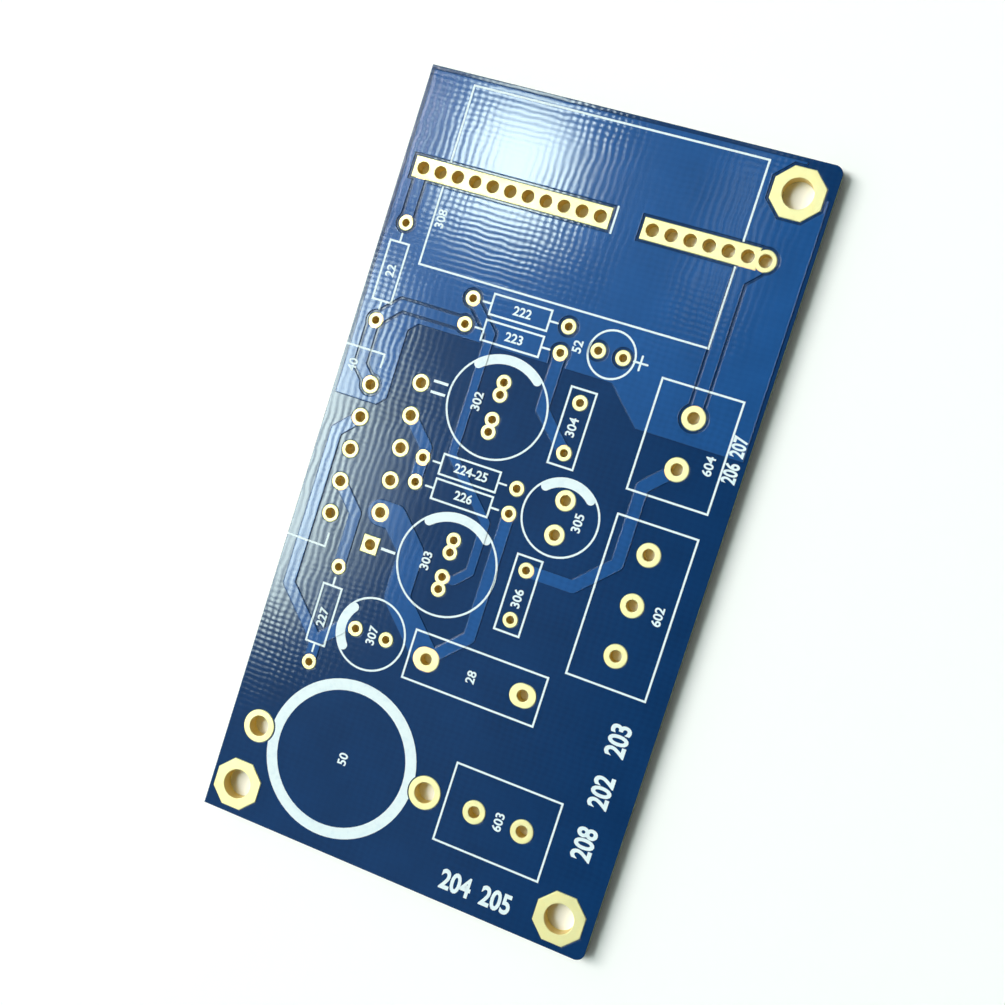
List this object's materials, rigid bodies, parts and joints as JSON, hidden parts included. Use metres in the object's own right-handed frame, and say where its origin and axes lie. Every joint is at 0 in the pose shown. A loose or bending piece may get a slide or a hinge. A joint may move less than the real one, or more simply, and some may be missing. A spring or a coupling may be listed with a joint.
{
  "type": "bare audio amplifier circuit board",
  "caption": "Flat blue two-sided circuit board for an audio power amplifier, bare of parts, with plated holes, printed legend and corner mounting holes.",
  "frame": {"origin": "centre of the board's underside", "axes": "+Y along the board's length towards the capacitor bars, +X across its width towards the terminal blocks, +Z out of the printed front"},
  "size_m": [0.042, 0.0786, 0.0016],
  "materials": {
    "glass_epoxy": "routed and drilled glass-fibre laminate edge",
    "blue_solder_mask": "glossy blue solder mask, paler over copper",
    "gold_plating": "thin pale gold plating on copper, satin",
    "copper_foil": "etched copper foil under solder mask",
    "white_legend_ink": "matt white screen-printed ink"
  },
  "bodies": {
    "root": {"amplifier_chip_lands": "gold_plating", "back_solder_mask": "blue_solder_mask", "bias_ground_track": "copper_foil", "bias_resistor_lands": "gold_plating", "chip_input_track": "copper_foil", "feedback_capacitor_lands": "gold_plating", "feedback_pin_track": "copper_foil", "feedback_resistor_lands": "gold_plating", "feedback_track": "copper_foil", "front_solder_mask": "blue_solder_mask", "gain_resistor_lands": "gold_plating", "glass_epoxy_laminate": "glass_epoxy", "ground_pour": "copper_foil", "ground_track": "copper_foil", "input_capacitor_left_bar": "gold_plating", "input_capacitor_right_bar": "gold_plating", "input_resistor_lands": "gold_plating", "input_resistor_track": "copper_foil", "input_terminal_lands": "gold_plating", "input_track": "copper_foil", "lower_film_capacitor_lands": "gold_plating", "lower_supply_capacitor_lands": "gold_plating", "mounting_hole_lands": "gold_plating", "mute_capacitor_lands": "gold_plating", "mute_resistor_lands": "gold_plating", "mute_track": "copper_foil", "negative_pin_track": "copper_foil", "negative_supply_track": "copper_foil", "output_coil_lands": "gold_plating", "output_coil_track": "copper_foil", "output_pin_track": "copper_foil", "output_resistor_lands": "gold_plating", "output_terminal_lands": "gold_plating", "output_track": "copper_foil", "positive_supply_track": "copper_foil", "power_lamp_lands": "gold_plating", "power_terminal_lands": "gold_plating", "printed_legend": "white_legend_ink", "sense_resistor_lands": "gold_plating", "sense_track": "copper_foil", "shield_pour": "copper_foil", "upper_film_capacitor_lands": "gold_plating", "upper_supply_capacitor_lands": "gold_plating"}
  },
  "joints": []
}
